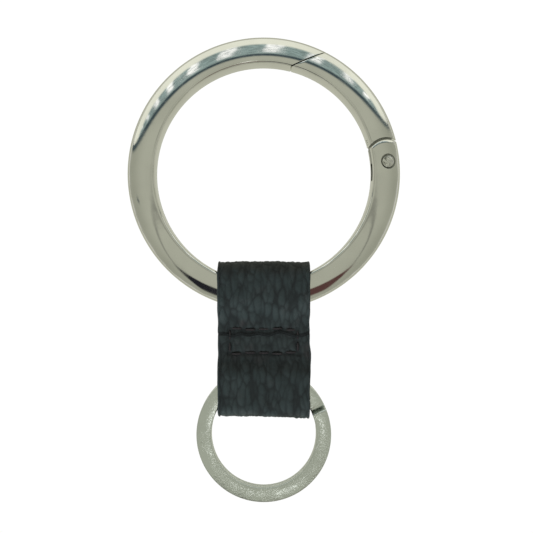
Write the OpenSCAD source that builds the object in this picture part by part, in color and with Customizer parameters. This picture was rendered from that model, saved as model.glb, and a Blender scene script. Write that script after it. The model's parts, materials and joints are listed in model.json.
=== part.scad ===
// Key holder: a spring-gate ring, a stitched leather strap and a split ring.
// All sizes are in millimetres. The gate ring's axis is +Z, its centre is the
// origin, and the strap and the split ring hang from it towards -Y.

/* [Gate ring] */
// Outside diameter of the gate ring
ring_od = 50; // [44:0.5:62]
// Width of the ring's bar, measured towards the ring's centre
ring_bar_w = 5.15; // [4.6:0.05:5.8]
// Thickness of the ring's bar, measured along the ring's axis
ring_bar_t = 4.5; // [4.2:0.1:5.4]
// Radius of the domed front and back faces, which fall away from the inner wall to the rim
ring_dome_r = 8; // [7.5:0.25:10]
// Rounding where the faces meet the inner wall
ring_inner_round = 0.5; // [0.3:0.05:0.8]

/* [Gate and hinge] */
// Angle of the hinge pin round the ring, from +X
pivot_angle = 5.3; // [0:0.1:12]
// Distance of the pin from the middle of the bar, outwards
pivot_offset = 0.25; // [0:0.05:0.4]
// Angle of the nose, where gate and body meet
nose_angle = 68; // [60:1:80]
// Slant of the nose's cut, from the radius
nose_slant = 44; // [30:1:50]
// Gap between the closed gate and the nose
nose_gap = 0.2; // [0.1:0.05:0.4]
// Radius of the rounded ends of the two cheeks, from the pin
cheek_r = 4.05; // [3.6:0.05:4.6]
// Gap between the cheeks' ends and the gate's shoulder
shoulder_gap = 0.22; // [0.1:0.02:0.4]
// Width of the slot between the cheeks
slot_t = 1.8; // [1.7:0.05:1.8]
// How far the slot goes on past the pin
slot_depth = 3.1; // [2.9:0.1:4]
// Gap between the gate's ears and each cheek
ear_gap = 0.06; // [0.03:0.01:0.1]
// Thickness of each of the gate's two ears
ear_t = 0.4; // [0.34:0.02:0.4]
// Radius of the ears' round ends
ear_r = 2.0; // [1.9:0.05:2.2]
// Radius of the hinge pin
pin_r = 0.92; // [0.8:0.02:1]
// Radial clearance of the ears on the pin
pin_clear = 0.05; // [0.02:0.01:0.1]
// Radius of the pin's peened heads
head_r = 1.08; // [1.04:0.02:1.2]
// Radius of the flat recess round each head
recess_r = 1.55; // [1.4:0.05:1.6]
// Depth of the recess at its outer side, where the face is lowest
recess_depth = 0.08; // [0.05:0.01:0.12]
// How far the heads lie below the face
head_sink = 0.22; // [0.1:0.02:0.4]

/* [Gate spring] */
// Wire diameter of the spring
spring_wire = 0.24; // [0.2:0.02:0.24]
// Number of turns round the pin
spring_turns = 2; // [1:1:2]
// Radial clearance of the turns on the pin
spring_clear = 0.16; // [0.1:0.02:0.2]
// Depth of the hole that holds each leg's end
leg_seat = 0.6; // [0.4:0.1:1]

/* [Leather strap] */
// Width of the strap
strap_w = 17; // [14:0.25:17.5]
// Thickness of the leather
leather_t = 1; // [0.8:0.05:1.3]
// Room between the gate ring's bar and the leather, front and back
upper_room = 0.25; // [0.2:0.01:0.5]
// Free length inside the upper loop, above the bar
upper_slack = 1.25; // [1.2:0.05:3]
// Distance from the gate ring's bar down to the upper fold line
upper_neck = 2.5; // [2.4:0.1:4]
// Length of the stitched waist
waist_l = 6.2; // [5.6:0.1:9]
// Room between the split ring and the leather, front and back
tail_room = 0.45; // [0.4:0.01:0.8]
// Distance from the lower fold line down to the split ring
tail_neck = 1.7; // [1.6:0.1:3]
// Free length inside the lower loop, below the ring
tail_slack = 0.55; // [0.5:0.05:2]
// Open line between the strap's layers
layer_gap = 0.08; // [0.04:0.02:0.12]

/* [Stitches] */
// Width of the sewn box
box_w = 12.4; // [8:0.1:13]
// Height of the sewn box
box_h = 4.4; // [3:0.1:4.4]
// Thickness of the thread
thread_d = 0.44; // [0.3:0.02:0.6]
// Number of stitches along the box
stitches_long = 5; // [3:1:7]
// Number of stitches up each end of the box
stitches_short = 2; // [1:1:3]
// Share of each step that the thread fills
stitch_fill = 0.78; // [0.5:0.02:0.9]

/* [Split ring] */
// Outside diameter of the split ring
split_od = 24.6; // [24:0.1:32]
// Width of the flat wire
split_w = 2.7; // [2.2:0.05:2.9]
// Thickness of one turn of the wire
split_t = 1.05; // [0.8:0.05:1.15]
// Gap between the two turns
split_gap = 0.1; // [0.06:0.01:0.2]
// Rounding of the wire's edges
split_round = 0.22; // [0.1:0.02:0.3]
// Angle of the notch where the front turn ends
notch_angle = 27; // [0:1:60]
// Width of the notch, round the ring
notch_span = 3.6; // [2:0.2:8]
// Angle over which the wire steps from one turn to the other
step_span = 15; // [10:1:25]

/* [Hidden] */
$fn = 96;
eps = 0.01;
// how far a cutter runs on past what it cuts, and a sweep past its cut end, in degrees
over = 1;
end_run = 20;
nickel = [0.72, 0.72, 0.68];
steel = [0.55, 0.56, 0.56];
leather_black = [0.17, 0.19, 0.20];
thread_brown = [0.16, 0.12, 0.14];

// Gate ring section
ring_r = ring_od / 2;
ring_ri = ring_r - ring_bar_w;
ring_half_t = ring_bar_t / 2;
ring_mid_r = ring_r - ring_bar_w / 2;
dome_x = ring_ri + ring_inner_round;
dome_z = ring_half_t - ring_dome_r;
function face_z(r) = dome_z + sqrt(pow(ring_dome_r, 2) - pow(r - dome_x, 2));
// the outer edge's arc is the one circle that touches the dome and the rim
dome_run = ring_r - dome_x;
rim_r = (dome_run * dome_run + dome_z * dome_z - ring_dome_r * ring_dome_r)
    / (2 * (dome_run - ring_dome_r));
rim_x = ring_r - rim_r;
fillet_z = ring_half_t - ring_inner_round;

// Hinge
pivot_r = ring_mid_r + pivot_offset;
pivot = [pivot_r * cos(pivot_angle), pivot_r * sin(pivot_angle)];
nose = [ring_mid_r * cos(nose_angle), ring_mid_r * sin(nose_angle)];
tongue_t = slot_t - 2 * ear_gap;
pocket_t = tongue_t - 2 * ear_t;
recess_z = face_z(pivot_r + recess_r) - recess_depth;
head_z = face_z(pivot_r) - head_sink;
// room between the spring's turns, round them, and round each leg's end
turn_gap = 0.02;
pocket_room = 0.15;
seat_room = 0.04;
// how far the gate's ears run into the gate
ear_root = 0.5;
spring_r = pin_r + spring_clear + spring_wire / 2;
spring_pitch = spring_wire + turn_gap;
spring_h = spring_turns * spring_pitch;
pocket_r = spring_r + spring_wire / 2 + pocket_room;
seat_r = spring_wire / 2 + seat_room;
gate_leg = pocket_r + leg_seat;
body_leg = slot_depth + leg_seat;

// Strap, measured downwards from the gate ring's centre
strap_half_w = strap_w / 2;
upper_h = ring_half_t + upper_room;
bar_low = ring_r;
bar_high = sqrt(ring_ri * ring_ri - strap_half_w * strap_half_w);
upper_bar_y = -(bar_low - ring_half_t);
upper_fold_y = -(bar_high - upper_slack + upper_h);
upper_flex_y = -(bar_low + upper_neck);
tail_flex_y = upper_flex_y - waist_l;
split_r = split_od / 2;
split_ri = split_r - split_w;
split_half_t = split_t + split_gap / 2;
split_y = tail_flex_y - tail_neck - split_r;
tail_h = split_half_t + tail_room;
tail_bar_y = split_y + split_r - split_w / 3;
tail_fold_y = split_y + sqrt(split_ri * split_ri - strap_half_w * strap_half_w) - tail_slack + tail_h;
waist_mid_y = (upper_flex_y + tail_flex_y) / 2;

// Bar section of the gate ring: a flat inner wall with rounded edges, and faces that fall
// away in a large arc to a round rim.
module dome(side) {
    translate([dome_x, side * dome_z])
        circle(r = ring_dome_r);
}

module ring_section() {
    difference() {
        intersection() {
            dome(1);
            dome(-1);
            union() {
                translate([ring_ri, -ring_half_t])
                    square([rim_x - ring_ri, ring_bar_t]);
                translate([rim_x, 0])
                    circle(r = rim_r);
            }
        }
        for (side = [0, 1])
            mirror([0, side])
                translate([ring_ri - over, fillet_z])
                    square([ring_inner_round + over, ring_bar_t]);
    }
    for (side = [-1, 1])
        translate([dome_x, side * fillet_z])
            circle(r = ring_inner_round, $fn = 48);
}

module ring_sector(from, to) {
    rotate([0, 0, from])
        rotate_extrude(angle = to - from, $fn = 180)
            ring_section();
}

// A block on one side of the slanted cut through the nose.
module beyond_cut(side) {
    reach = 3 * ring_bar_w;
    translate([nose[0], nose[1], 0])
        rotate([0, 0, nose_angle - nose_slant])
            translate([-reach, side > 0 ? nose_gap / 2 : -reach - nose_gap / 2, -ring_bar_t])
                cube([2 * reach, reach, 2 * ring_bar_t]);
}

module at_pivot() {
    translate([pivot[0], pivot[1], 0])
        rotate([0, 0, pivot_angle])
            children();
}

module slab(radius, thickness) {
    cylinder(r = radius, h = thickness, center = true);
}

// Room for one leg of the spring, towards the body (-1) or the gate (1).
module leg_hole(side, length) {
    translate([spring_r, 0, side * spring_h / 2])
        rotate([-90 * side, 0, 0])
            cylinder(r = seat_r, h = length + eps, $fn = 24);
}

// Cast hoop with two cheeks at the hinge and a slanted nose.
module ring_body() {
    color(nickel)
    difference() {
        ring_sector(nose_angle - end_run, 360 + pivot_angle + end_run);
        beyond_cut(-1);
        at_pivot() {
            difference() {
                translate([-2 * ring_bar_w, 0, -ring_bar_t])
                    cube([4 * ring_bar_w, 2 * ring_bar_w, 2 * ring_bar_t]);
                slab(cheek_r, 3 * ring_bar_t);
            }
            translate([-ring_bar_w, -slot_depth, -slot_t / 2])
                cube([2 * ring_bar_w, slot_depth + cheek_r + over, slot_t]);
            slab(pin_r, 2 * ring_bar_t);
            for (side = [-1, 1])
                translate([0, 0, side * (recess_z + ring_bar_t)])
                    slab(recess_r, 2 * ring_bar_t);
            leg_hole(-1, body_leg);
        }
    }
}

// Curved gate whose shoulder turns round the cheeks, with two ears on the pin.
module gate() {
    color(nickel)
    difference() {
        union() {
            difference() {
                ring_sector(pivot_angle, nose_angle + end_run);
                at_pivot()
                    slab(cheek_r + shoulder_gap, 2 * ring_bar_t);
            }
            difference() {
                union() {
                    intersection() {
                        ring_sector(pivot_angle, pivot_angle + end_run);
                        at_pivot()
                            slab(cheek_r + shoulder_gap + ear_root, tongue_t);
                    }
                    at_pivot()
                        slab(ear_r, tongue_t);
                }
                at_pivot() {
                    slab(pocket_r, pocket_t);
                    translate([-ring_bar_w, -ring_bar_w, -pocket_t / 2])
                        cube([2 * ring_bar_w, ring_bar_w, pocket_t]);
                    leg_hole(1, gate_leg);
                }
            }
        }
        beyond_cut(1);
        at_pivot()
            slab(pin_r + pin_clear, 2 * ring_bar_t);
    }
}

// Hinge pin with its two ends peened over into the recesses.
module pivot_rivet() {
    color(nickel)
    at_pivot() {
        slab(pin_r, 2 * head_z);
        for (side = [-1, 1])
            translate([0, 0, side * (head_z + recess_z) / 2])
                slab(head_r, head_z - recess_z);
    }
}

// Torsion spring: one leg held in the body, turns round the pin, one leg held in the gate.
spring_steps = 16;
function spring_turn(k) =
    let (a = k * 360 / spring_steps)
    [spring_r * cos(a), spring_r * sin(a), -spring_h / 2 + spring_pitch * k / spring_steps];
spring_path = concat(
    [[spring_r, -body_leg, -spring_h / 2]],
    [for (k = [0 : spring_turns * spring_steps]) spring_turn(k)],
    [[spring_r, gate_leg, spring_h / 2]]);
function unit(v) = v / norm(v);
function along(path, i) = unit(path[min(i + 1, len(path) - 1)] - path[max(i - 1, 0)]);

module wire_sweep(path, wire, sides = 8) {
    rings = [for (i = [0 : len(path) - 1])
        let (t = along(path, i), u = unit(cross(t, [0, 0, 1])), v = cross(t, u))
        for (s = [0 : sides - 1])
            path[i] + wire / 2 * (cos(s * 360 / sides) * u + sin(s * 360 / sides) * v)];
    last = (len(path) - 1) * sides;
    walls = [for (i = [0 : len(path) - 2], s = [0 : sides - 1])
        let (a = i * sides + s, b = i * sides + (s + 1) % sides)
        [a, a + sides, b + sides, b]];
    polyhedron(points = rings,
        faces = concat([[for (s = [0 : sides - 1]) s]],
            walls,
            [[for (s = [sides - 1 : -1 : 0]) last + s]]));
}

module gate_spring() {
    color(steel)
    at_pivot()
        wire_sweep(spring_path, spring_wire);
}

// Side outline of a loop: a round fold, straight sides, and flanks that run in to the waist.
// The flanks touch the loop's inner circle and end at the strap's thickness on the fold line.
fold_steps = 48;
flank_steps = 12;
function arc(x, r, from, to, steps) =
    [for (k = [0 : steps]) let (a = from + (to - from) * k / steps) [x + r * cos(a), r * sin(a)]];
function flank_lean(run, outer) = atan2(leather_t, run) + acos(outer / norm([run, leather_t]));
function loop_points(length, lean, r) =
    concat(arc(0, r, lean, 90, flank_steps),
        arc(-length, r, 90, 270, fold_steps),
        arc(0, r, 270, 360 - lean, flank_steps),
        [[r / cos(lean), 0]]);

module loop(fold_y, bar_y, flex_y, half) {
    run = abs(flex_y - bar_y);
    length = abs(fold_y - bar_y);
    outer = half + leather_t;
    lean = flank_lean(run, outer);
    multmatrix([[0, 0, 1, -strap_half_w], [sign(flex_y - bar_y), 0, 0, bar_y], [0, 1, 0, 0]])
        linear_extrude(strap_w)
            difference() {
                intersection() {
                    polygon(loop_points(length, lean, outer));
                    translate([-length - 2 * outer, -2 * outer])
                        square([length + 2 * outer + run, 4 * outer]);
                }
                polygon(loop_points(length, lean, half));
            }
}

// Leather folded over the gate ring's bar.
module strap_upper_loop() {
    color(leather_black)
        loop(upper_fold_y, upper_bar_y, upper_flex_y, upper_h);
}

// Leather folded through the split ring.
module strap_tail_loop() {
    color(leather_black)
        loop(tail_fold_y, tail_bar_y, tail_flex_y, tail_h);
}

// The two layers between the loops; the strip's two ends meet in the back layer.
module strap_waist() {
    color(leather_black)
    difference() {
        translate([-strap_half_w, tail_flex_y, -leather_t])
            cube([strap_w, waist_l, 2 * leather_t]);
        translate([-strap_half_w - over, tail_flex_y - over, -layer_gap / 2])
            cube([strap_w + 2 * over, waist_l + 2 * over, layer_gap]);
        translate([-strap_half_w - over, waist_mid_y - layer_gap, -leather_t - over])
            cube([strap_w + 2 * over, 2 * layer_gap, leather_t + over]);
    }
}

// One stitch: a round bar with round ends, half sunk in the leather.
module stitch(length) {
    bar = length - thread_d;
    rotate([0, 90, 0])
        cylinder(d = thread_d, h = bar, center = true, $fn = 24);
    for (side = [-1, 1])
        translate([side * bar / 2, 0, 0])
            sphere(d = thread_d, $fn = 24);
}

module stitch_row(length, count) {
    step = length / count;
    for (k = [0 : count - 1])
        translate([(k + 0.5) * step - length / 2, 0, 0])
            stitch(step * stitch_fill);
}

module stitch_box() {
    for (side = [-1, 1]) {
        translate([0, side * box_h / 2, 0])
            stitch_row(box_w, stitches_long);
        translate([side * box_w / 2, 0, 0])
            rotate([0, 0, 90])
                stitch_row(box_h, stitches_short);
    }
}

module needle_thread() {
    color(thread_brown)
    translate([0, waist_mid_y, leather_t])
        stitch_box();
}

module bobbin_thread() {
    color(thread_brown)
    translate([0, waist_mid_y, -leather_t])
        stitch_box();
}

// Flat wire of the split ring in section.
module wire_section() {
    translate([split_ri + split_round, -split_t / 2])
        square([split_w - 2 * split_round, split_t]);
    translate([split_ri, -split_t / 2 + split_round])
        square([split_w, split_t - 2 * split_round]);
    for (x = [split_ri + split_round, split_r - split_round], z = [-1, 1])
        translate([x, z * (split_t / 2 - split_round)])
            circle(r = split_round, $fn = 24);
}

module wire_slice(angle, z) {
    rotate([0, 0, angle])
        translate([0, eps, z])
            rotate([90, 0, 0])
                linear_extrude(2 * eps)
                    wire_section();
}

// Two turns of flat wire joined by one step.
module split_ring() {
    turn_z = (split_t + split_gap) / 2;
    turn = 360 - notch_span - step_span;
    start = notch_angle + notch_span / 2;
    step_parts = 3;
    color(nickel)
    translate([0, split_y, 0]) {
        translate([0, 0, turn_z])
            rotate([0, 0, start])
                rotate_extrude(angle = turn, $fn = 180)
                    wire_section();
        translate([0, 0, -turn_z])
            rotate([0, 0, start - notch_span])
                rotate_extrude(angle = turn, $fn = 180)
                    wire_section();
        for (k = [0 : step_parts - 1]) {
            from = k / step_parts;
            to = (k + 1) / step_parts;
            hull() {
                wire_slice(start + turn + from * step_span, turn_z * (1 - 2 * from));
                wire_slice(start + turn + to * step_span, turn_z * (1 - 2 * to));
            }
        }
    }
}

ring_body();
gate();
pivot_rivet();
gate_spring();
strap_upper_loop();
strap_waist();
strap_tail_loop();
needle_thread();
bobbin_thread();
split_ring();
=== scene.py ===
# %% [markdown]
# # Key holder: gate ring, leather strap and split ring
#
# The object is a cast, nickel-plated ring with a spring gate, a split ring of flat wire, and a
# strip of black grained leather that is folded through both and sewn shut between them.
# The CAD model already says where everything is and how it moves. This lesson gives it its
# looks: smooth metal sections, cut and rounded edges, real grain in the leather and thread.
# The first cell loads the CAD model as a fixed frame.

# %% Load the frame
import json
import math

import bpy
from mathutils import Matrix, Vector, noise

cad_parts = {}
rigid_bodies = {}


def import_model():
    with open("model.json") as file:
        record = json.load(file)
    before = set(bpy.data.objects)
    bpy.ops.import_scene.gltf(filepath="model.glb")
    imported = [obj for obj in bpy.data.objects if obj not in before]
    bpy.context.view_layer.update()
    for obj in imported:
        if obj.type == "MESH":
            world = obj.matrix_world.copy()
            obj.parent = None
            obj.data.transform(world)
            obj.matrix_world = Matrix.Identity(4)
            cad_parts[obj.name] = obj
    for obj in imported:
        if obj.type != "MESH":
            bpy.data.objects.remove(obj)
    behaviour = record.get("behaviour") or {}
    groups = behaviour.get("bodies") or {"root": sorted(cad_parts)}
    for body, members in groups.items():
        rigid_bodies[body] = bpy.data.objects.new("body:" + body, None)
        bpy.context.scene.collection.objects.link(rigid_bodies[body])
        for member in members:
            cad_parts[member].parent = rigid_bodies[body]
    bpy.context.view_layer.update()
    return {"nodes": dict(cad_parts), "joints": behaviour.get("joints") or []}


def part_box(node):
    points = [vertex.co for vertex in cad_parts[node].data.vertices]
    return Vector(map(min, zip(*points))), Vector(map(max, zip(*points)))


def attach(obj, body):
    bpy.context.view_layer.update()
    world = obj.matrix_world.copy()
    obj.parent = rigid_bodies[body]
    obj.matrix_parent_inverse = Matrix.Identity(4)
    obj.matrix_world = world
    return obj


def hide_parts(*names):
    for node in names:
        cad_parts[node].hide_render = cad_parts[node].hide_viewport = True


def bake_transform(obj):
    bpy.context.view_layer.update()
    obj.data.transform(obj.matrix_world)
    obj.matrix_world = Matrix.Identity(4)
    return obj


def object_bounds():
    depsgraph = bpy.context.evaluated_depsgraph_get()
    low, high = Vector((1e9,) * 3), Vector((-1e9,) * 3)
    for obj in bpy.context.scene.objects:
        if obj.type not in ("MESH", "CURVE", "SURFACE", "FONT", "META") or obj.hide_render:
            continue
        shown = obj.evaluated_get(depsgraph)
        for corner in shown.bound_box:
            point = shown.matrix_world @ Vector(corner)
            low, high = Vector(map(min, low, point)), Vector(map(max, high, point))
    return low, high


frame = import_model()

# %% [markdown]
# ## Camera
#
# The camera comes first, because everything else is judged through it. It looks straight down
# on the key holder from about a hand's length away, as over a table, so the far parts of the
# ring are seen slightly from their inner side. A 50 mm lens on a 36 mm sensor is the plain
# choice for a small object at that distance.

# %% Camera
MM = 0.001
scene = bpy.context.scene
low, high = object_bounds()
middle = (low + high) / 2
camera_data = bpy.data.cameras.new("camera")
camera_data.lens = 50
camera_data.sensor_width = 36
camera_data.clip_start = 10 * MM
camera = bpy.data.objects.new("camera", camera_data)
camera.location = (middle.x + 0.5 * MM, middle.y + 0.5 * MM, 136 * MM)
scene.collection.objects.link(camera)
scene.camera = camera
print("camera at", tuple(camera.location))

# %% [markdown]
# ## Sizes
#
# Every place comes from the frame. The pieces are modelled on a bench that counts in
# millimetres, because Blender's edit tools were made for sizes around one unit, and
# `to_metres` scales each finished piece down. The hinge and the fold lines come from the
# joints, and the rings' radii from their own CAD meshes.

# %% Sizes from the frame
joints = {joint["name"]: joint for joint in frame["joints"]}
hinge = Vector(joints["gate_swing"]["pos_m"]) / MM
upper_fold = joints["upper_flex"]["pos_m"][1] / MM
lower_fold = joints["tail_flex"]["pos_m"][1] / MM
split_centre = Vector(joints["split_ring_turn"]["pos_m"]) / MM


def node_box(node):
    """Lowest and highest corner of a CAD node, in millimetres."""
    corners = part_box(node)
    return corners[0] / MM, corners[1] / MM


def node_radii(node, centre):
    """Smallest and largest distance of a CAD node's mesh from an upright axis, in millimetres."""
    places = [vertex.co / MM - centre for vertex in frame["nodes"][node].data.vertices]
    radii = [math.hypot(place.x, place.y) for place in places]
    return min(radii), max(radii)


ring_inner, ring_outer = node_radii("ring_body", Vector())
ring_half_t = node_box("ring_body")[1].z
split_inner, split_outer = node_radii("split_ring", split_centre)
split_half_t = node_box("split_ring")[1].z
strap_half_w = node_box("strap_waist")[1].x
strap_top = node_box("strap_upper_loop")[1].y
strap_bottom = node_box("strap_tail_loop")[0].y
print("ring", ring_inner, ring_outer, ring_half_t, "split ring", split_inner, split_outer, split_half_t)
print("strap", strap_half_w, strap_top, strap_bottom, "folds", upper_fold, lower_fold)
print("hinge", hinge)

# %% [markdown]
# ## The bench: a pencil and a few helpers
#
# A ring, a wire or a rivet is one outline swept round an axis. An outline is drawn as a
# draughtsman draws it: from a first point, straight lines are extruded and bends are spun
# about their centres, so each bend is a true arc. `mirror_below` turns the upper half of an
# outline into a closed face of crosswise strips, which later caps the swept bar neatly.

# %% Bench helpers
FULL_TURN = 360


def clear_selection():
    """Nothing is selected, in object mode."""
    if bpy.context.mode != "OBJECT":
        bpy.ops.object.mode_set(mode="OBJECT")
    bpy.ops.object.select_all(action="DESELECT")


def activate(piece):
    """Makes one piece the only selected and active one."""
    clear_selection()
    piece.select_set(True)
    bpy.context.view_layer.objects.active = piece


class Pencil:
    """Draws an outline in the XZ plane. The heading is in degrees, from +X towards +Z."""

    def __init__(self, x, z, heading):
        clear_selection()
        bpy.ops.mesh.primitive_plane_add(size=1, location=(x, 0, z))
        bpy.ops.object.transform_apply(location=True)
        self.piece = bpy.context.object
        self.place = Vector((x, 0, z))
        self.heading = heading
        bpy.ops.object.mode_set(mode="EDIT")
        bpy.ops.mesh.select_mode(type="VERT")
        bpy.ops.mesh.merge(type="CENTER")

    def ahead(self, turned=0):
        """Unit vector along the heading, turned by so many degrees to the left."""
        angle = math.radians(self.heading + turned)
        return Vector((math.cos(angle), 0, math.sin(angle)))

    def line(self, length):
        """Extrudes the last point straight ahead."""
        step = self.ahead() * length
        bpy.ops.mesh.extrude_region_move(TRANSFORM_OT_translate={"value": step})
        self.place = self.place + step

    def bend(self, radius, degrees, steps):
        """Spins the last point round a centre on its right."""
        centre = self.place + self.ahead(-90) * radius
        spin(centre, (0, -1, 0), degrees, steps)
        arm = Matrix.Rotation(math.radians(degrees), 3, "Y") @ (self.place - centre)
        self.place = centre + arm
        self.heading = self.heading - degrees


def spin(centre, axis, degrees, steps):
    """Spins what is selected in edit mode."""
    bpy.ops.mesh.spin(steps=steps, angle=math.radians(degrees), center=centre, axis=axis,
        use_auto_merge=False)


def merge_doubles():
    """Merges all vertices that lie in one place and turns the faces outwards."""
    bpy.ops.mesh.select_all(action="SELECT")
    bpy.ops.mesh.remove_doubles(threshold=0.0005)
    bpy.ops.mesh.normals_make_consistent(inside=False)


def mirror_below():
    """Extrudes the whole upper outline onto its mirror image below, as a ladder of faces."""
    bpy.ops.mesh.select_all(action="SELECT")
    bpy.ops.mesh.extrude_edges_move(TRANSFORM_OT_translate={"value": (0, 0, 0)})
    bpy.ops.transform.resize(value=(1, 1, -1), center_override=(0, 0, 0))
    merge_doubles()


def smooth(piece, degrees):
    """Smooth shading, with a crease where faces meet at more than so many degrees."""
    activate(piece)
    bpy.ops.object.shade_smooth_by_angle(angle=math.radians(degrees))


def to_metres(piece, name):
    """Names a finished piece and brings it from millimetres to metres, about the origin."""
    activate(piece)
    bpy.ops.object.transform_apply(location=True, rotation=True, scale=True)
    piece.scale = (MM, MM, MM)
    bpy.ops.object.transform_apply(scale=True)
    piece.name = name
    piece.data.name = name
    print(name, "has", len(piece.data.polygons), "faces")
    return piece


def finish_modifier(piece, kind, **settings):
    """Adds a modifier with its settings and applies it."""
    activate(piece)
    modifier = piece.modifiers.new(kind.title(), kind)
    for key, value in settings.items():
        setattr(modifier, key, value)
    bpy.ops.object.modifier_apply(modifier=modifier.name)


def cut_away(piece, cutter):
    """Subtracts a cutter from a piece and throws the cutter away."""
    finish_modifier(piece, "BOOLEAN", operation="DIFFERENCE", solver="EXACT", object=cutter)
    bpy.data.objects.remove(cutter)


def join(pieces):
    """Joins several pieces into the first."""
    activate(pieces[0])
    for piece in pieces:
        piece.select_set(True)
    bpy.ops.object.join()
    return pieces[0]


def edge_round(piece, sharper_than, width, segments, near=None, reach=0):
    """Bevels every edge that is sharper than an angle, or only those near a place in plan."""
    activate(piece)
    bpy.ops.object.mode_set(mode="EDIT")
    bpy.ops.mesh.select_mode(type="EDGE")
    bpy.ops.mesh.select_all(action="DESELECT")
    bpy.ops.mesh.edges_select_sharp(sharpness=math.radians(sharper_than))
    if near is not None:
        bpy.ops.object.mode_set(mode="OBJECT")
        points = piece.data.vertices
        for edge in piece.data.edges:
            offset = points[edge.vertices[0]].co - near
            edge.select = edge.select and math.hypot(offset.x, offset.y) < reach
        bpy.ops.object.mode_set(mode="EDIT")
    bpy.ops.mesh.bevel(offset=width, segments=segments, profile=0.5, affect="EDGES", clamp_overlap=True)
    bpy.ops.object.mode_set(mode="OBJECT")


# %% [markdown]
# ## The gate ring's bar
#
# On the real object the hoop is a zinc casting, polished and plated. Its bar has a flat inner
# wall, faces that fall away in a large arc, and a tight round rim. It could be a torus pushed
# into shape, but then the arcs would only be near enough, and polished metal shows it: here
# each arc has its own radius and meets the next one in a common tangent. The faces get more
# steps than the eye needs in their outline, because reflections magnify every facet.

# %% Swept bar
bar_round = 0.5
bar_dome = 8.0
dome_run = ring_outer - ring_inner - bar_round
dome_drop = ring_half_t - bar_dome
bar_rim = (dome_run**2 + dome_drop**2 - bar_dome**2) / (2 * (dome_run - bar_dome))
dome_sweep = math.degrees(math.atan2(dome_run - bar_rim, -dome_drop))
print("bar: rim radius", bar_rim, "dome", dome_sweep, "degrees")


def swept_bar(start, end, step=1.0):
    """A closed length of the gate ring's bar between two angles round the ring."""
    pencil = Pencil(ring_inner, ring_half_t - bar_round, 90)
    pencil.bend(bar_round, 90, 5)
    pencil.bend(bar_dome, dome_sweep, 14)
    pencil.bend(bar_rim, 90 - dome_sweep, 9)
    mirror_below()
    spin((0, 0, 0), (0, 0, -1), end - start, round((end - start) / step))
    merge_doubles()
    bpy.ops.object.mode_set(mode="OBJECT")
    bar = pencil.piece
    bar.rotation_euler.z = math.radians(start)
    bpy.ops.object.transform_apply(rotation=True)
    return bar


def angle_of(place):
    """Angle of a place round the ring's axis, in degrees from +X, between -90 and 270."""
    return (math.degrees(math.atan2(place.y, place.x)) + 90) % FULL_TURN - 90


def trim_end(bar, end, stop, reach=12):
    """Slides a bar's end round the ring until each radius stops at the angle stop(radius)."""
    for vertex in bar.data.vertices:
        place = vertex.co
        off = (angle_of(place) - end + 180) % FULL_TURN - 180
        share = max(0, 1 - abs(off) / reach)
        if share > 0:
            turn = (stop(math.hypot(place.x, place.y)) - end) * share
            vertex.co = Matrix.Rotation(math.radians(turn), 3, "Z") @ place


# %% [markdown]
# ## The two cuts
#
# The gate meets the body in two places. At the nose both are sawn along one slanting line,
# and at the hinge the gate's shoulder turns round the body's rounded cheeks. Both cuts stand
# upright, so where they stop the bar depends only on the distance from the ring's centre.
# That makes them easy to model: the swept bar's last columns are slid round the ring until
# each point stands on the cut, and no boolean ruins the clean columns.

# %% Nose and cheeks
nose_angle = 68
nose_slant = 44
nose_gap = 0.2
cheek_reach = 4.05
shoulder_gap = 0.34
cheek_round = 0.09
lip_run = 0.85
lip_drop = 0.34
recess_round = 0.14
shoulder_round = 0.1
nose_round = 0.11
bar_middle = (ring_inner + ring_outer) / 2
hinge_angle = angle_of(hinge)
hinge_radius = math.hypot(hinge.x, hinge.y)


def nose_stop(side):
    """Where the nose's cut meets each radius, half a gap to one side."""
    cut_heading = nose_angle - nose_slant
    offset = bar_middle * math.sin(math.radians(nose_slant)) + side * nose_gap / 2
    return lambda radius: cut_heading + math.degrees(math.asin(offset / radius))


def arc_stop(reach):
    """Where a circle round the hinge pin meets each radius, on the gate's side."""
    def stop(radius):
        cosine = (radius**2 + hinge_radius**2 - reach**2) / (2 * radius * hinge_radius)
        return hinge_angle + math.degrees(math.acos(cosine))
    return stop


body_end = FULL_TURN + arc_stop(cheek_reach)(bar_middle)
def roll_lip(bar):
    """Rounds the cheeks' faces down towards their edge, in an ellipse."""
    for vertex in bar.data.vertices:
        place = vertex.co
        run = (place - hinge).xy.length - (cheek_reach - lip_run)
        if 0 < run < lip_run + 0.1 and place.y > hinge.y:
            share = min(1, run / lip_run)
            drop = lip_drop * (1 - math.sqrt(1 - share * share))
            place.z *= 1 - drop / ring_half_t


body = swept_bar(nose_angle, body_end, 0.4)
trim_end(body, nose_angle, nose_stop(1))
trim_end(body, body_end - FULL_TURN, arc_stop(cheek_reach))
roll_lip(body)
edge_round(body, 50, cheek_round, 4, near=hinge, reach=8)
edge_round(body, 70, nose_round, 3)

gate_start = arc_stop(cheek_reach + shoulder_gap)(bar_middle)
gate = swept_bar(gate_start, nose_angle)
trim_end(gate, gate_start, arc_stop(cheek_reach + shoulder_gap))
trim_end(gate, nose_angle, nose_stop(-1))
edge_round(gate, 50, shoulder_round, 3, near=hinge, reach=8)
edge_round(gate, 70, nose_round, 3)
print("body from", nose_angle, "to", body_end, "gate from", gate_start)

# %% [markdown]
# ## Hinge
#
# The body's end is slotted, and two thin ears of the gate turn in the slot on a riveted pin.
# Each head of the pin lies in a round, flat-bottomed recess. These are machined features with
# crisp edges, so they are cut with booleans: a block for the slot, a short cylinder for each
# recess. The ears are a slice of the same bar with round discs round the pin, and a pocket
# between them leaves room for the spring.

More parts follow.
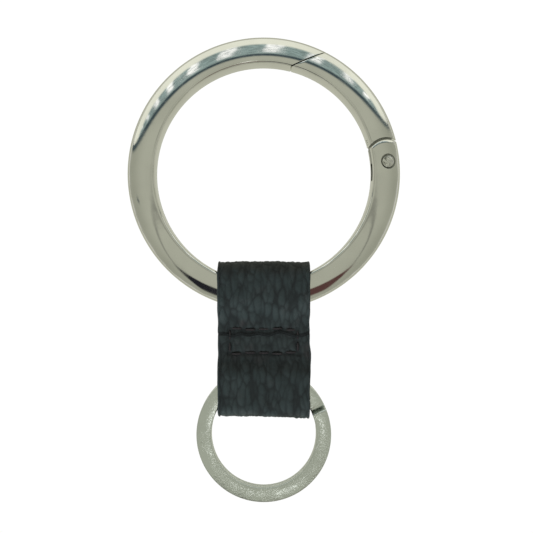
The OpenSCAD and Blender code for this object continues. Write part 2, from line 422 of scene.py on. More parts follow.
# %% Slot, recesses and ears
slot_half_t = 0.9
slot_depth = 3.1
ear_outer_z = 0.84
ear_inner_z = 0.44
ear_radius = 1.5
slot_reach = 24.25
recess_radius = 1.38
pin_radius = 0.92
head_radius = 1.08
pocket_radius = 1.63
face_centre_x = ring_inner + bar_round


def face_height(radius):
    """Height of the bar's front face at a distance from the ring's centre."""
    return dome_drop + math.sqrt(bar_dome**2 - (radius - face_centre_x) ** 2)


recess_z = face_height(hinge_radius + recess_radius) - 0.08
head_z = face_height(hinge_radius) - 0.22


def block(size, centre):
    """A box turned square to the bar at the hinge. Size and centre are in the hinge's own axes."""
    clear_selection()
    turn = Matrix.Rotation(math.radians(hinge_angle), 3, "Z")
    bpy.ops.mesh.primitive_cube_add(size=1, location=hinge + turn @ Vector(centre), scale=size,
        rotation=(0, 0, math.radians(hinge_angle)))
    return bpy.context.object


def disc(radius, low_z, high_z, sides=64):
    """An upright cylinder round the hinge pin."""
    clear_selection()
    bpy.ops.mesh.primitive_cylinder_add(vertices=sides, radius=radius, depth=high_z - low_z,
        location=(hinge.x, hinge.y, (low_z + high_z) / 2))
    return bpy.context.object


def keep_within(piece, radius):
    """Cuts off what lies further from the ring's axis than a radius."""
    clear_selection()
    bpy.ops.mesh.primitive_cylinder_add(vertices=256, radius=radius, depth=4 * ring_half_t)
    finish_modifier(piece, "BOOLEAN", operation="INTERSECT", solver="EXACT",
        object=bpy.context.object)
    return piece


cut_away(body, disc(recess_radius, recess_z, 2 * ring_half_t))
cut_away(body, disc(recess_radius, -2 * ring_half_t, -recess_z))
edge_round(body, 40, recess_round, 2, near=hinge, reach=recess_radius + 0.2)
slot_length = slot_depth + cheek_reach + 1
slot = block((12, slot_length, 2 * slot_half_t), (0, slot_length / 2 - slot_depth, 0))
cut_away(body, keep_within(slot, slot_reach))
cut_away(body, disc(pin_radius, -2 * ring_half_t, 2 * ring_half_t))

tongue = keep_within(swept_bar(hinge_angle, gate_start + 2), slot_reach - 0.1)
cut_away(tongue, block((12, 30, ring_half_t), (0, 0, ear_outer_z + ring_half_t / 2)))
cut_away(tongue, block((12, 30, ring_half_t), (0, 0, -ear_outer_z - ring_half_t / 2)))
finish_modifier(tongue, "BOOLEAN", operation="UNION", solver="EXACT",
    object=disc(ear_radius, -ear_outer_z, ear_outer_z))
cut_away(tongue, disc(pocket_radius, -ear_inner_z, ear_inner_z))
cut_away(tongue, block((12, 6, 2 * ear_inner_z), (0, -3, 0)))
cut_away(tongue, disc(pin_radius + 0.05, -2 * ring_half_t, 2 * ring_half_t))
for leftover in [o for o in bpy.data.objects if o.name.startswith("Cylinder")]:
    bpy.data.objects.remove(leftover)
# The tongue, deep in the gap at the shoulder, gets a second material: nickel darkened as painted shade.
for piece, surface in ((gate, "outside"), (tongue, "inside")):
    piece.data.materials.clear()
    piece.data.materials.append(bpy.data.materials.new(surface))
gate = join([gate, tongue])
# The recess floors and the slot's walls take the same darkened nickel: painted shade.
for face in body.data.polygons:
    level = abs(face.center.z)
    aside = math.hypot(face.center.x - hinge.x, face.center.y - hinge.y)
    recessed = abs(level - recess_z) < 0.02 and aside < recess_radius
    if recessed or abs(level - slot_half_t) < 0.01:
        face.material_index = 1
for piece in (body, gate):
    smooth(piece, 32)
body = to_metres(body, "hoop_body")
gate = to_metres(gate, "spring_gate")

# %% [markdown]
# ## Hinge pin
#
# The pin is a short bar of the same metal. Its ends are peened over, which leaves a flat,
# faintly crowned head with a rounded edge. It is a lathe shape, so its outline is drawn from
# the axis outwards and spun once round.

# %% Hinge pin
crown = 0.04
head_edge = 0.1
pencil = Pencil(0, head_z + crown, 0)
flat = head_radius - head_edge
crown_radius = (flat**2 + crown**2) / (2 * crown)
crown_sweep = math.degrees(math.asin(flat / crown_radius))
pencil.bend(crown_radius, crown_sweep, 6)
pencil.bend(head_edge, 90 - crown_sweep, 4)
pencil.line(pencil.place.z - recess_z)
pencil.bend(0.001, 90, 1)
pencil.line(pencil.place.x - pin_radius)
mirror_below()
bpy.ops.mesh.delete(type="ONLY_FACE")
bpy.ops.mesh.select_all(action="SELECT")
spin((0, 0, 0), (0, 0, 1), FULL_TURN, 64)
merge_doubles()
bpy.ops.mesh.normals_make_consistent(inside=False)
bpy.ops.object.mode_set(mode="OBJECT")
pin = pencil.piece
pin.location = hinge
smooth(pin, 40)
pin = to_metres(pin, "hinge_pin")
pin_box = [max(v.co[axis] for v in pin.data.vertices) / MM for axis in range(3)]
print("hinge pin reaches", pin_box)

# %% [markdown]
# ## Split ring
#
# The split ring is a length of flat spring wire wound twice round. The winding could be a
# helix, but the real one is pressed flat: each turn is level, and the wire steps from one
# layer to the other over a short stretch. So the wire's section is spun for one turn, walked
# down the step in small spins, and spun for the second turn. Because it is one sweep, both of
# its ends are real ends, and the notch between them is a real gap.

# %% Split ring
wire_w = split_outer - split_inner
wire_gap = 0.1
wire_t = split_half_t - wire_gap / 2
wire_round = 0.2
notch_angle = 28.8
turn_sweep = 341.4
front_sweep = 352.6
step_sweep = 4.6
step_parts = 10
layer_z = (wire_t + wire_gap) / 2

pencil = Pencil(split_inner, wire_t / 2 - wire_round, 90)
pencil.bend(wire_round, 90, 4)
pencil.line(wire_w - 2 * wire_round)
pencil.bend(wire_round, 90, 4)
mirror_below()
bpy.ops.mesh.select_all(action="SELECT")
bpy.ops.transform.translate(value=(0, 0, layer_z))
spin((0, 0, 0), (0, 0, -1), front_sweep, 234)
for part in range(step_parts):
    drop = [layer_z * math.cos(math.pi * k / step_parts) for k in (part, part + 1)]
    spin((0, 0, 0), (0, 0, -1), step_sweep / step_parts, 1)
    bpy.ops.transform.translate(value=(0, 0, drop[1] - drop[0]))
spin((0, 0, 0), (0, 0, -1), turn_sweep, 228)
bpy.ops.mesh.select_all(action="SELECT")
bpy.ops.mesh.normals_make_consistent(inside=False)
bpy.ops.object.mode_set(mode="OBJECT")
wire = pencil.piece
edge_round(wire, 50, 0.06, 2)
wire.rotation_euler.z = math.radians(notch_angle)
wire.location = split_centre
smooth(wire, 40)
wire = to_metres(wire, "split_ring_wire")

# %% [markdown]
# ## Leather strap
#
# The real strap is one strip, folded through both rings, with its ends butted on the back and
# the middle sewn flat. It is made the same way here: a flat grid is cut to the strip's width
# and length, and then folded along a side outline of lines and bends. A box pushed into shape
# would be quicker, but the flat cut keeps a UV map in which the grain runs unbroken round the
# folds. The strip comes in two pieces, because each loop bends against the sewn waist at its
# own fold line; they meet in the crease that lies across the waist, where a seam is natural.

# %% Fold a strip
leather_t = 0.94
waist_z = 1.0
crease_y = upper_fold - 1.7
back_joint_y = (upper_fold + lower_fold) / 2
upper_h = node_box("strap_upper_loop")[1].z - 0.06
lower_h = node_box("strap_tail_loop")[1].z - 0.04


def outline_place(outline, start, along):
    """Place (y, z) and heading on an outline of (length, turn) parts, so far along it."""
    place, heading = Vector(start), 0.0
    for length, turn in outline:
        share = min(1, max(0, along / length))
        done = math.radians(turn) * share
        if turn:
            radius = length / math.radians(turn)
            chord = Vector((math.sin(done), 1 - math.cos(done))) * radius
        else:
            chord = Vector((min(along, length), 0))
        place += Matrix.Rotation(heading, 2) @ chord
        heading += done
        along -= length
        if along <= 0:
            break
    return place, heading


def loop_outline(run_in, run_out, climb, lean, swell, level):
    """Side outline of a loop: flat, up the flank, level, round the fold and back the same way."""
    bend = math.radians(lean) * swell
    flank = (climb - 2 * swell * (1 - math.cos(math.radians(lean)))) / math.sin(math.radians(lean))
    way_up = [(bend, lean), (flank, 0), (bend, -lean), (level, 0)]
    fold = math.pi * (waist_z + climb)
    way_down = [(level, 0), (bend, -lean), (flank, 0), (bend, lean)]
    return [(run_in, 0)] + way_up + [(fold, -180)] + way_down + [(run_out, 0)]


def folded_strip(outline, start, direction, columns=14, cell=1.2):
    """A flat strip cut to the outline's length and folded along it, towards +Y or -Y."""
    length = sum(part[0] for part in outline)
    clear_selection()
    bpy.ops.mesh.primitive_grid_add(x_subdivisions=columns, y_subdivisions=round(length / cell), size=1)
    strip = bpy.context.object
    for vertex in strip.data.vertices:
        along = (vertex.co.y + 0.5) * length
        place, heading = outline_place(outline, start, along)
        vertex.co = (vertex.co.x * 2 * strap_half_w * direction, place.x * direction, place.y)
    strip["length"] = length
    return strip


def flank_reach(climb, lean, swell):
    """How far a flank takes a loop along the strap."""
    lean_angle = math.radians(lean)
    rise = climb - 2 * swell * (1 - math.cos(lean_angle))
    return 2 * swell * math.sin(lean_angle) + rise / math.tan(lean_angle)


upper_climb = upper_h - waist_z
lower_climb = lower_h - waist_z
upper_flank_y = crease_y + 0.9
upper_level = strap_top - 0.2 - upper_h - upper_flank_y - flank_reach(upper_climb, 32, 3.2)
end_lap = 0.3
upper_outline = loop_outline(0.9 + end_lap, upper_flank_y - back_joint_y - 0.03, upper_climb, 32, 3.2, upper_level)
upper_strip = folded_strip(upper_outline, (crease_y - end_lap, waist_z), 1)

lower_flank_y = lower_fold + 0.5
lower_level = lower_flank_y - strap_bottom - lower_h - flank_reach(lower_climb, 30, 2.5)
lower_outline = loop_outline(crease_y - lower_flank_y, back_joint_y - lower_flank_y - 0.03,
    lower_climb, 30, 2.5, lower_level)
lower_strip = folded_strip(lower_outline, (-crease_y, waist_z), -1)
print("strip lengths", upper_strip["length"], lower_strip["length"])

# %% [markdown]
# ## Thickness, soft edges and grain
#
# The strip gets its thickness inwards, so that the grain side keeps its place. A small bevel
# holds the edges while subdivision softens everything else, as leather does when it is folded.
# Then the grain is raised in the mesh itself. Milled leather has pebbles that lie together
# like cobbles, longer along the strip where it was pulled tight, with Y-shaped creases between
# them: that is a cell pattern, warped a little, and stretched along the strip. Each point also
# keeps how deep it lies in a crease as an attribute, so that the finish can follow it: it paints
# the creases darker, as painted shade, and rougher.

# %% Raise the grain
grain_w = 1.0
grain_long = 4.4
grain_short = 1.5
grain_depth = 0.22
stitch_rows = 2.2
stitch_columns = 6.2
stitch_step = 2.45


def between(low_value, high_value, value):
    """0 below the first value, 1 above the second, and a smooth step between."""
    share = min(1, max(0, (value - low_value) / (high_value - low_value)))
    return share * share * (3 - 2 * share)


def pebble(across, along):
    """Height of one layer of the grain: 0 in a crease, 1 on top of a pebble."""
    sway = noise.noise_vector(Vector((across * 0.55, along * 0.7, 7.3))) * 0.35
    ripple = noise.noise_vector(Vector((across * 1.7, along * 2.1, 3.1))) * 0.14
    cell = Vector((across / grain_w, along, 0)) + sway + ripple
    cell.z = 0
    distances, places = noise.voronoi(cell)
    gap = distances[1] - distances[0]
    dome = 1 - min(1, distances[0] / 0.8) ** 2
    return 0.14 * between(0, 0.2, gap) + 0.42 * between(0, 0.8, gap) + 0.44 * dome


def stretched(along, waist_end):
    """Distance along the strip counted in pebbles, which are shorter in the sewn waist."""
    short = min(along, waist_end) + 0.5 * max(0, along - waist_end)
    return along / grain_long + short * (1 / grain_short - 1 / grain_long) * 0.6


def dent(across, down):
    """How far the thread pulls the leather in, near the sewn box. Both are from its middle."""
    to_row = abs(abs(down) - stitch_rows) if abs(across) < stitch_columns + 0.5 else 9
    to_column = abs(abs(across) - stitch_columns) if abs(down) < stitch_rows + 0.5 else 9
    return math.exp(-((min(to_row, to_column) / 0.42) ** 2))


def dress_leather(strip, waist_end, seed):
    """Gives a folded strip its thickness, its soft edges and its grain."""
    for name in ("grain side", "flesh side", "cut edge"):
        strip.data.materials.append(bpy.data.materials.new(name))
    length = strip["length"]
    finish_modifier(strip, "SOLIDIFY", thickness=leather_t, offset=-1,
        material_offset=1, material_offset_rim=2, use_even_offset=True)
    finish_modifier(strip, "BEVEL", width=0.2, segments=1, limit_method="ANGLE",
        angle_limit=math.radians(60))
    finish_modifier(strip, "SUBSURF", levels=3, render_levels=3)
    mesh = strip.data
    flat = {}
    bare = set()
    uv = mesh.uv_layers[0].data
    for face in mesh.polygons:
        for loop in face.loop_indices:
            vertex = mesh.loops[loop].vertex_index
            flat[vertex] = uv[loop].uv
            if face.material_index:
                bare.add(vertex)
    depth = mesh.attributes.new("crease", "FLOAT", "POINT")
    middle_y = (upper_fold + lower_fold) / 2
    outwards = [vertex.normal.copy() for vertex in mesh.vertices]
    for vertex in mesh.vertices:
        across = (flat[vertex.index].x - 0.5) * 2 * strap_half_w
        along = flat[vertex.index].y * length
        place = vertex.co
        height = pebble(across + seed, stretched(along, waist_end))
        fine = noise.noise(Vector((across * 3.1, along * 2.2, seed)))
        swell = noise.noise(Vector((across * 0.28, along * 0.22, seed + 4)))
        near = dent(across, place.y - middle_y) if abs(place.z) < 1.6 else 0
        # Near the stitches the pebbles are flattened, and the higher crease value paints the dents darker: painted
        # shade.
        height = height * (1 - 0.5 * near)
        depth.data[vertex.index].value = 1 - height
        if vertex.index in bare:
            raised = 0.08 * swell
        else:
            raised = grain_depth * (height - 1) + 0.03 * fine + 0.16 * swell - 0.18 * near
        vertex.co = place + outwards[vertex.index] * raised
    return strip


def settle(strip):
    """Takes the stiffness out of a strip: soft bulges at its edges and a foot that hangs askew."""
    for vertex in strip.data.vertices:
        place = vertex.co
        down = (crease_y - place.y) / (crease_y - strap_bottom)
        side = place.x / strap_half_w
        bulge = 0.3 * math.exp(-((place.y - lower_fold) / 2.6) ** 2) * between(0.2, 1, side)
        waver = 0.1 * noise.noise(Vector((side * 3, place.y * 0.5, 2.2))) * abs(side)
        at_crease = math.exp(-(((place.y - crease_y) / 1.1) ** 2)) if place.z > -0.2 else 0
        # Along the crease across the waist the crease value is raised above any pebble's, so the finish paints a
        # dark line there: painted shade.
        if at_crease > 0.88:
            strip.data.attributes["crease"].data[vertex.index].value = 1.3
        place.y += 0.6 * at_crease * noise.noise(Vector((place.x * 0.5, 5.5, 1.0)))
        place.x += bulge + waver - 0.1 * side
        place.y -= 0.2 * side * max(0, down) + 0.1 * side * side * (1 if down > 0.8 else 0)


waist_parts = ((upper_strip, "upper_strap", 0.9, 0), (lower_strip, "lower_strap", 4.5, 31.7))
straps = []
for strip, name, waist_end, seed in waist_parts:
    dress_leather(strip, waist_end, seed)
    for face in strip.data.polygons:
        if face.center.z > 0 and abs(face.center.y - crease_y) < 0.4:
            face.material_index = 0
    settle(strip)
    smooth(strip, 80)
    straps.append(to_metres(strip, name))
upper_strap, lower_strap = straps

# %% [markdown]
# ## Stitches
#
# A box of saddle stitches holds the strap's layers together. One stitch is a short bar of
# thread, pulled into the leather at both ends, with the twist of its two plies showing. It is
# modelled once from a ball: the ball's halves are drawn apart, the twist is pressed in, and
# the ends are bent down. Copies of it, each with its own mesh, are set round the box.

# %% Stitches
thread_d = 0.46
stitch_fill = 0.8


def make_stitch(length):
    """One stitch along X, centred on the origin, with its outer side up."""
    clear_selection()
    bpy.ops.mesh.primitive_uv_sphere_add(segments=16, ring_count=24, radius=thread_d / 2,
        rotation=(0, math.pi / 2, 0))
    bpy.ops.object.transform_apply(rotation=True)
    stitch = bpy.context.object
    half = (length - thread_d) / 2
    for vertex in stitch.data.vertices:
        place = vertex.co
        share = place.x / (thread_d / 2)
        turn = math.atan2(place.z, place.y) + 7.5 * share
        groove = 1 - 0.16 * math.cos(2 * turn) ** 6
        place.x += half * math.sin(share * math.pi / 2)
        place.y *= groove
        place.z = place.z * groove - 0.28 * abs(share) ** 3
    return stitch


def stitch_box(name, side):
    """The whole box on the front (1) or the back (-1) of the waist."""
    middle_y = (upper_fold + lower_fold) / 2
    level = waist_z - 0.27
    stitches = []
    for row in (-1, 1):
        for k in range(5):
            slip = 0.14 * math.sin(2.3 * k + 1.7 * row)
            place = ((k - 2) * 2 * stitch_columns / 5, row * stitch_rows + slip, 0)
            stitches.append((place, 0, 2 * stitch_columns / 5))
        for k in range(2):
            place = (row * stitch_columns, (k - 0.5) * stitch_rows, 0)
            stitches.append((place, 90, stitch_rows))
    pattern = {length: make_stitch(length * stitch_fill) for length in {s[2] for s in stitches}}
    copies = []
    for place, turned, length in stitches:
        copy = pattern[length].copy()
        copy.data = pattern[length].data.copy()
        scene.collection.objects.link(copy)
        copy.rotation_euler = (0 if side > 0 else math.pi, 0, math.radians(turned))
        copy.location = (place[0], middle_y + place[1], side * level)
        copies.append(copy)
    for stitch in pattern.values():
        bpy.data.objects.remove(stitch)
    box = join(copies)
    smooth(box, 60)
    return to_metres(box, name)


needle_stitches = stitch_box("needle_stitches", 1)
bobbin_stitches = stitch_box("bobbin_stitches", -1)

# %% [markdown]
# ## Shader sums
#
# A finish is a small sum: so much of this colour where the grain is deep, a little more
# roughness where it is worn. Nodes can be wired one by one, but sums read better as sums, so
# `Term` wraps a socket and adds the Math nodes when Python adds, multiplies or raises it.
# Every other node comes from `Sheet.node`, which takes its type, settings and inputs.

# %% Shader sums
class Term:
    """A socket that can be used in a sum."""

    def __init__(self, sheet, socket):
        self.sheet = sheet
        self.socket = socket

    def _math(self, operation, first, second=0.0, **settings):
        settings = {"operation": operation, **settings}
        return self.sheet.node("ShaderNodeMath", settings, {0: first, 1: second})

    def __add__(self, other):
        return self._math("ADD", self, other)

    def __radd__(self, other):
        return self._math("ADD", other, self)

    def __sub__(self, other):
        return self._math("SUBTRACT", self, other)

    def __rsub__(self, other):
        return self._math("SUBTRACT", other, self)

    def __mul__(self, other):
        return self._math("MULTIPLY", self, other)

    def __rmul__(self, other):
        return self._math("MULTIPLY", other, self)

    def __truediv__(self, other):
        return self._math("DIVIDE", self, other)

    def __pow__(self, power):
        return self._math("POWER", self, power)

    def __neg__(self):
        return self._math("MULTIPLY", self, -1.0)

    def size(self):
        """The value without its sign."""
        return self._math("ABSOLUTE", self)

    def at_least(self, other):
        """The value, or the other one if that is larger."""
        return self._math("MAXIMUM", self, other)

    def wave(self):
        """The sine of the value."""
        return self._math("SINE", self)

    def step(self, low_value, high_value):
        """0 below the first value, 1 above the second, smooth between."""
        return self.sheet.node("ShaderNodeMapRange", {"interpolation_type": "SMOOTHSTEP"},
            {0: self, 1: low_value, 2: high_value, 3: 0.0, 4: 1.0})


class Sheet:
    """A node tree that is being written."""

    def __init__(self, tree):
        self.tree = tree

    def node(self, kind, settings=None, inputs=None, output=0):
        """Adds a node, makes its settings, fills its inputs and returns one output."""
        node = self.tree.nodes.new(kind)
        for key, value in (settings or {}).items():
            if key == "stops":
                for element, (position, colour) in zip(stops_of(node, len(value)), value):
                    element.position = position
                    element.color = (*colour, 1)
            else:
                setattr(node, key, value)
        for key, value in (inputs or {}).items():
            self.fill(node.inputs[key], value)
        return Term(self, node.outputs[output])

    def fill(self, socket, value):
        """Sets a socket to a number, a colour or another node's output."""
        if isinstance(value, Term):
            self.tree.links.new(value.socket, socket)
        elif isinstance(value, tuple) and len(socket.default_value) == 4 and len(value) == 3:
            socket.default_value = (*value, 1)
        else:
            socket.default_value = value

    def mix(self, factor, first, second, blend="MIX"):
        """Mixes two colours."""
        settings = {"data_type": "RGBA", "blend_type": blend}
        return self.node("ShaderNodeMix", settings, {0: factor, 6: first, 7: second}, 2)

    def noise(self, vector, size, detail=3, roughness=0.55, **inputs):
        """Cloudy noise with blotches of about that size."""
        return self.node("ShaderNodeTexNoise", {}, {"Vector": vector, "Scale": 1 / size,
            "Detail": detail, "Roughness": roughness, **inputs})

    def scaled(self, vector, factors):
        """A vector with each of its parts multiplied."""
        return self.node("ShaderNodeVectorMath", {"operation": "MULTIPLY"}, {0: vector, 1: factors})

    def bump(self, height, distance, strength=1.0):
        """Surface relief of so many metres."""
        return self.node("ShaderNodeBump", {}, {"Strength": strength, "Distance": distance,
            "Height": height})


def stops_of(node, count):
    """The stops of a colour ramp, as many as asked."""
    elements = node.color_ramp.elements
    while len(elements) < count:
        elements.new(0.5)
    return elements


class Finish(Sheet):
    """A material with one Principled shader, read in millimetres on the object."""

    def __init__(self, name, **constants):
        self.material = bpy.data.materials.new(name)
        self.material.use_nodes = True
        super().__init__(self.material.node_tree)
        self.shader = next(n for n in self.tree.nodes if n.type == "BSDF_PRINCIPLED")
        for key, value in constants.items():
            self.put(key.replace("_", " ").title().replace("Ior", "IOR"), value)
        place = self.node("ShaderNodeTexCoord", {}, {}, "Object")
        self.place = self.scaled(place, (1 / MM, 1 / MM, 1 / MM))

    def put(self, key, value):
        """Fills one of the shader's sockets."""
        self.fill(self.shader.inputs[key], value)


# %% [markdown]
# ## Metal finishes
#
# Polished nickel is almost a mirror: what is seen in it is the studio. A flat mirror looks
# like a computer's chrome, though. Real plating has a soft orange-peel from the casting under
# it, a haze of fine hairlines from handling, and patches where the polish is duller. The
# hairlines are noise stretched along one direction, at two angles, so light in the bump.

# %% Metal finishes
nickel_colour = (0.72, 0.72, 0.68)


def metal(name, colour, roughness, hairlines, peel, patch=0.05, tumble=0.0):
    """Plated metal with hairlines, a faint orange-peel and, on wire, dents from tumbling."""
    finish = Finish(name, metallic=1.0)
    cloud = finish.noise(finish.place, 2.6, 4)
    tarnish = finish.noise(finish.place, 7.0, 2)
    worn = finish.mix(tarnish.step(0.35, 0.7), colour, tuple(c * 0.93 for c in colour))
    finish.put("Base Color", worn)
    lines = 0
    for turned, size in ((0.5, 0.05), (-0.9, 0.06)):
        along = finish.node("ShaderNodeMapping", {}, {"Vector": finish.place,
            "Rotation": (0, 0, turned), "Scale": (1, 0.03, 1)})
        line = finish.noise(along, size, 1).step(0.62, 0.72)
        lines = line + lines
    scratched = lines * cloud.step(0.45, 0.65)
    finish.put("Roughness", roughness + patch * cloud.step(0.4, 0.7) + 0.1 * hairlines * scratched)
    swell = finish.noise(finish.place, 1.6, 2)
    relief = swell * peel - scratched * (0.0006 * hairlines)
    if tumble:
        dents = finish.noise(finish.place, 0.33, 3)
        where = finish.noise(finish.place, 6.0, 2).step(0.4, 0.6)
        relief = relief + dents * (0.35 + where) * tumble
    finish.put("Normal", finish.bump(relief, MM))
    return finish.material


nickel = metal("polished nickel", nickel_colour, 0.06, 0.6, 0.004)
wire_nickel = metal("tumbled nickel wire", (0.63, 0.665, 0.635), 0.1, 1.2, 0.01, 0.1, 0.05)
pin_nickel = metal("peened nickel", nickel_colour, 0.2, 0.4, 0.004, 0.1)
# Nickel darkened to under half its colour, for the tongue, the recess floors and the slot walls: painted shade.
shade_darkened_nickel = metal("nickel darkened as painted shade", (0.27, 0.275, 0.25), 0.35, 0.4, 0.004)
spring_steel = metal("spring steel", (0.55, 0.56, 0.56), 0.25, 0.5, 0.002)

# %% [markdown]
# ## Leather finishes
#
# The grain is in the mesh already, so the finish only has to colour it: the creases are painted
# darker than the tops of the pebbles, as painted shade, the tops are a little glossier, and a fine
# pore pattern too small for the mesh goes into the bump. Over the sewn waist the colour is painted
# darker still, also as painted shade. The cut edge is painted, and the
# flesh side inside the loops is dull and fibrous.

# %% Leather and thread finishes
def grain_leather():
    """Black milled leather with a blue-green cast."""
    finish = Finish("black grained leather", specular_ior_level=0.42)
    crease = finish.node("ShaderNodeAttribute", {"attribute_name": "crease"}, {}, "Fac")
    patch = finish.noise(finish.place, 4.5, 3)
    warm = finish.noise(finish.place, 3.2, 2).step(0.5, 0.75)
    top = finish.mix(patch.step(0.3, 0.75), (0.023, 0.034, 0.036), (0.034, 0.047, 0.049))
    down = finish.node("ShaderNodeSeparateXYZ", {}, {0: finish.place}, 1)
    waist = 1 - (down - (upper_fold + lower_fold) / 2).size().step(2.5, 5.0)
    top = finish.mix((0.25 + 0.6 * waist) * warm, top, (0.036, 0.030, 0.033))
    # Darker over the sewn waist, between the two raised loops: painted shade.
    top = finish.mix(0.3 * waist, top, (0.016, 0.018, 0.019))
    # Deeper in a crease the colour goes almost black: painted shade, which also makes the pebble tops look
    # lighter.
    colour = finish.mix(crease.step(0.25, 1.2), top, (0.012, 0.015, 0.0165))
    finish.put("Base Color", colour)
    pores = finish.noise(finish.place, 0.16, 3)
    finish.put("Roughness", 0.5 + 0.22 * crease + 0.12 * (pores - 0.5))
    finish.put("Normal", finish.bump(pores, 0.02 * MM, 0.8))
    return finish.material


def plain_leather(name, colour, roughness, fibre):
    """Flesh side or painted edge."""
    finish = Finish(name, specular_ior_level=0.35)
    cloud = finish.noise(finish.place, fibre, 4)
    finish.put("Base Color", finish.mix(cloud.step(0.3, 0.7), colour, tuple(c * 0.6 for c in colour)))
    finish.put("Roughness", roughness + 0.15 * cloud)
    finish.put("Normal", finish.bump(cloud, 0.05 * MM, 0.6))
    return finish.material


def thread_finish():
    """Dark waxed thread with its plies."""
    finish = Finish("waxed thread", specular_ior_level=0.45)
    fibre = finish.noise(finish.scaled(finish.place, (3.0, 3.0, 1.0)), 0.2, 2)
    finish.put("Base Color", finish.mix(fibre.step(0.3, 0.7), (0.012, 0.011, 0.013), (0.03, 0.026, 0.029)))
    finish.put("Roughness", 0.42 + 0.2 * fibre)
    finish.put("Normal", finish.bump(fibre, 0.03 * MM, 0.7))
    return finish.material


leather_finishes = (grain_leather(), plain_leather("flesh side", (0.03, 0.032, 0.033), 0.7, 0.2),
    plain_leather("painted edge", (0.03, 0.042, 0.047), 0.4, 0.5))
thread = thread_finish()


def clothe(piece, *materials):
    """Gives a piece its materials, slot by slot."""
    while len(piece.data.materials) < len(materials):
        piece.data.materials.append(None)
    for slot, material in enumerate(materials):
        piece.data.materials[slot] = material


for piece in (body, gate):
    clothe(piece, nickel, shade_darkened_nickel)
clothe(wire, wire_nickel)
clothe(pin, pin_nickel)
clothe(frame["nodes"]["gate_spring"], spring_steel)
for strap in straps:
    clothe(strap, *leather_finishes)
for stitches in (needle_stitches, bobbin_stitches):
    clothe(stitches, thread)

# %% [markdown]
# ## Studio
#
# The key holder lies on white paper. What gives polished metal its shape is what it reflects,
# so the studio round it is painted as a world: soft grey-green walls, a lit panel behind the
# object with a dark frame and a row of lamps, a pale strip of table beyond it, and the dark
# shape of the camera's stand in front. None of it is seen directly, because a camera ray
# that leaves the paper sees the same white.

# %% World
WHITE = (1.0, 1.0, 1.0)
top_colour = (0.52, 0.53, 0.445)
wall_colour = (0.42, 0.43, 0.355)
foil_colour = (0.27, 0.355, 0.35)
band_colour = (0.055, 0.085, 0.1)
table_colour = (1.05, 1.06, 0.93)
floor_colour = (0.72, 0.71, 0.68)
hole_left = (0.02, 0.02, 0.026)
hole_right = (0.12, 0.06, 0.055)


def paint_world():
    """The studio as a world shader."""
    world = bpy.data.worlds.new("studio")
    scene.world = world
    world.use_nodes = True
    sheet = Sheet(world.node_tree)
    background = next(n for n in world.node_tree.nodes if n.type == "BACKGROUND")
    way = sheet.node("ShaderNodeTexCoord", {}, {}, "Generated")
    x, y, z = [sheet.node("ShaderNodeSeparateXYZ", {}, {0: way}, axis) for axis in range(3)]
    right = x / z.at_least(0.03)
    away = y / z.at_least(0.03)
    bearing = x / y.at_least(0.03)

    # the tent's cloth: lighter overhead, darker down the walls, pale where it meets the table
    streaks = sheet.noise(sheet.scaled(way, (3.0, 3.0, 0.6)), 0.35, 3)
    colour = sheet.mix((1 - z).step(0.1, 0.55), top_colour, wall_colour)
    colour = sheet.mix((1 - z).step(0.55, 1.0) * streaks.step(0.4, 0.62), colour, floor_colour)

    # the back wall: crumpled foil with upright strips of lamps behind a dark band
    beyond = away - (0.57 + 0.1 * right + 0.08 * right * right)
    crumple = sheet.noise(way, 0.035, 5)
    sway = sheet.noise(sheet.scaled(way, (1.0, 1.0, 0.3)), 0.5, 2) - 0.5
    lamps = ((bearing + 0.3 * sway) * 19.5).wave().step(0.1, 0.75) * crumple.step(0.3, 0.55)
    foil = sheet.mix(crumple.step(0.35, 0.65), tuple(0.75 * c for c in foil_colour),
        tuple(1.5 * c for c in foil_colour))
    foil = sheet.mix(lamps * beyond.step(0.08, 0.3), foil, (1.5, 1.5, 1.5))
    foil = sheet.mix(1 - z.step(0.44, 0.54), foil, table_colour)
    colour = sheet.mix(beyond.step(0.03, 0.09), colour, foil)
    colour = sheet.mix(beyond.step(-0.12, -0.02) * (1 - beyond.step(0.04, 0.1)), colour, band_colour)

    # the opening for the camera, with its flap, and a small cable slot on the left
    hole = (1 - right.size().step(0.8, 0.9)) * (1 - away.step(-0.72, -0.64)) * away.step(-1.5, -1.2)
    colour = sheet.mix(hole, colour, sheet.mix(right.step(-0.1, 0.1), hole_left, hole_right))
    arch = (right * right + (away + 0.72) * (away + 0.72)) ** 0.5
    seam = arch.step(0.76, 0.8) * (1 - arch.step(0.8, 0.86)) * away.step(-0.72, -0.66)
    colour = sheet.mix(seam * 0.45, colour, hole_left)
    slot = (1 - ((right + 1.32) / 0.16).size().step(0.7, 1)) * (1 - ((away + 0.08) / 0.03).size().step(0.5, 1))
    colour = sheet.mix(slot, colour, band_colour)

    # one bare lamp overhead
    lamp_reach = ((right - 0.06) ** 2.0 + (away + 0.29) ** 2.0) ** 0.5
    colour = sheet.mix(1 - lamp_reach.step(0.03, 0.045), colour, (3.0, 3.0, 2.9))
    world.cycles_visibility.diffuse = False
    seen = sheet.node("ShaderNodeLightPath", {}, {}, "Is Camera Ray")
    sheet.fill(background.inputs["Color"], sheet.mix(seen, colour, WHITE))


paint_world()
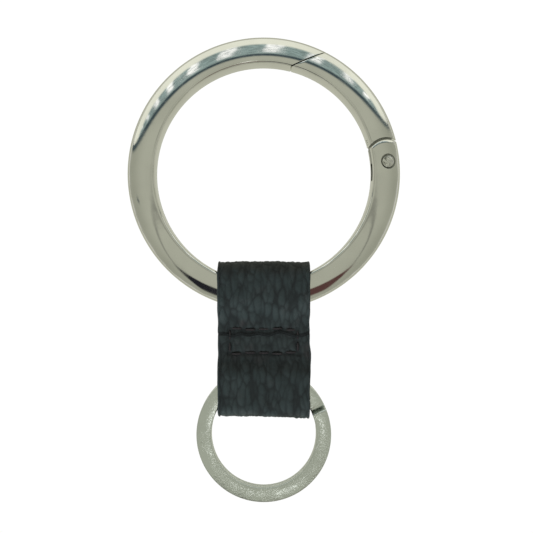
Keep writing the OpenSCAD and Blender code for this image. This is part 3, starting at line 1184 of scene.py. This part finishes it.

# %% [markdown]
# ## Paper and light
#
# The paper is a plain white plane just under the lowest point. It shines by itself: the camera
# sees it evenly white, so that the object stands free on pure white, while the metal sees it dimmer
# and greyer near the middle, as a painted shadow. One large soft lamp from behind rakes over the
# leather and brings out its grain.

# %% Paper and lamp
clear_selection()
bpy.ops.mesh.primitive_plane_add(size=2.0, location=(middle.x, middle.y, low.z - 0.15 * MM))
paper = bpy.context.object
paper.name = "paper"
paper_material = bpy.data.materials.new("paper")
paper_material.use_nodes = True
paper_sheet = Sheet(paper_material.node_tree)
paper_shader = next(n for n in paper_material.node_tree.nodes if n.type == "BSDF_PRINCIPLED")
seen = paper_sheet.node("ShaderNodeLightPath", {}, {}, "Is Camera Ray")
paper_sheet.fill(paper_shader.inputs["Base Color"], (0.0, 0.0, 0.0))
paper_sheet.fill(paper_shader.inputs["Specular IOR Level"], 0.0)
from_centre = paper_sheet.node("ShaderNodeVectorMath", {"operation": "LENGTH"},
    {0: paper_sheet.node("ShaderNodeTexCoord", {}, {}, "Object")}, "Value")
# For every ray but the camera's, the paper glows dimmer and greyer near the middle, under the object: a painted
# shadow seen in the metal.
paper_glow_with_painted_shadow = paper_sheet.mix(from_centre.step(0.05, 0.14), (0.56, 0.565, 0.47), (1.0, 1.0, 0.94))
paper_sheet.fill(paper_shader.inputs["Emission Color"], paper_sheet.mix(seen, paper_glow_with_painted_shadow, WHITE))
paper_sheet.fill(paper_shader.inputs["Emission Strength"], 1.02)
clothe(paper, paper_material)

lamp_data = bpy.data.lights.new("soft lamp", "AREA")
lamp_data.shape = "RECTANGLE"
lamp_data.size = 0.5
lamp_data.size_y = 0.25
lamp_data.energy = 3.5
lamp = bpy.data.objects.new("soft lamp", lamp_data)
lamp.location = (-0.12, -0.42, 0.3)
lamp.rotation_euler = (Vector((0, -0.03, 0)) - lamp.location).to_track_quat("-Z", "Y").to_euler()
lamp.visible_glossy = False
scene.collection.objects.link(lamp)
scene.view_settings.view_transform = "Standard"

# %% [markdown]
# ## Pieces on their bodies
#
# Each metal piece and each box of stitches is tied to the CAD body that it moves with and stands
# for its CAD node. The two leather pieces are only baked in place, and stand for the strap's CAD
# nodes.

# %% Ride and replace
for piece, riding, node, slot_name in (
    (body, "gate_ring", "ring_body", "nickel_plate"),
    (pin, "gate_ring", "pivot_rivet", "nickel_plate"),
    (gate, "gate", "gate", "nickel_plate"),
    (wire, "split_ring", "split_ring", "nickel_wire"),
    (needle_stitches, "waist", "needle_thread", "thread"),
    (bobbin_stitches, "waist", "bobbin_thread", "thread"),
):
    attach(piece, riding)
    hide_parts(node)

bend_above = (0, (upper_fold + 1.5) * MM, 0)
bend_below = (0, (upper_fold - 1.2) * MM, 0)
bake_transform(upper_strap)
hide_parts("strap_upper_loop", "strap_waist")
bend_above = (0, (lower_fold + 1.0) * MM, 0)
bend_below = (0, (lower_fold - 1.5) * MM, 0)
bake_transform(lower_strap)
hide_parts("strap_tail_loop")
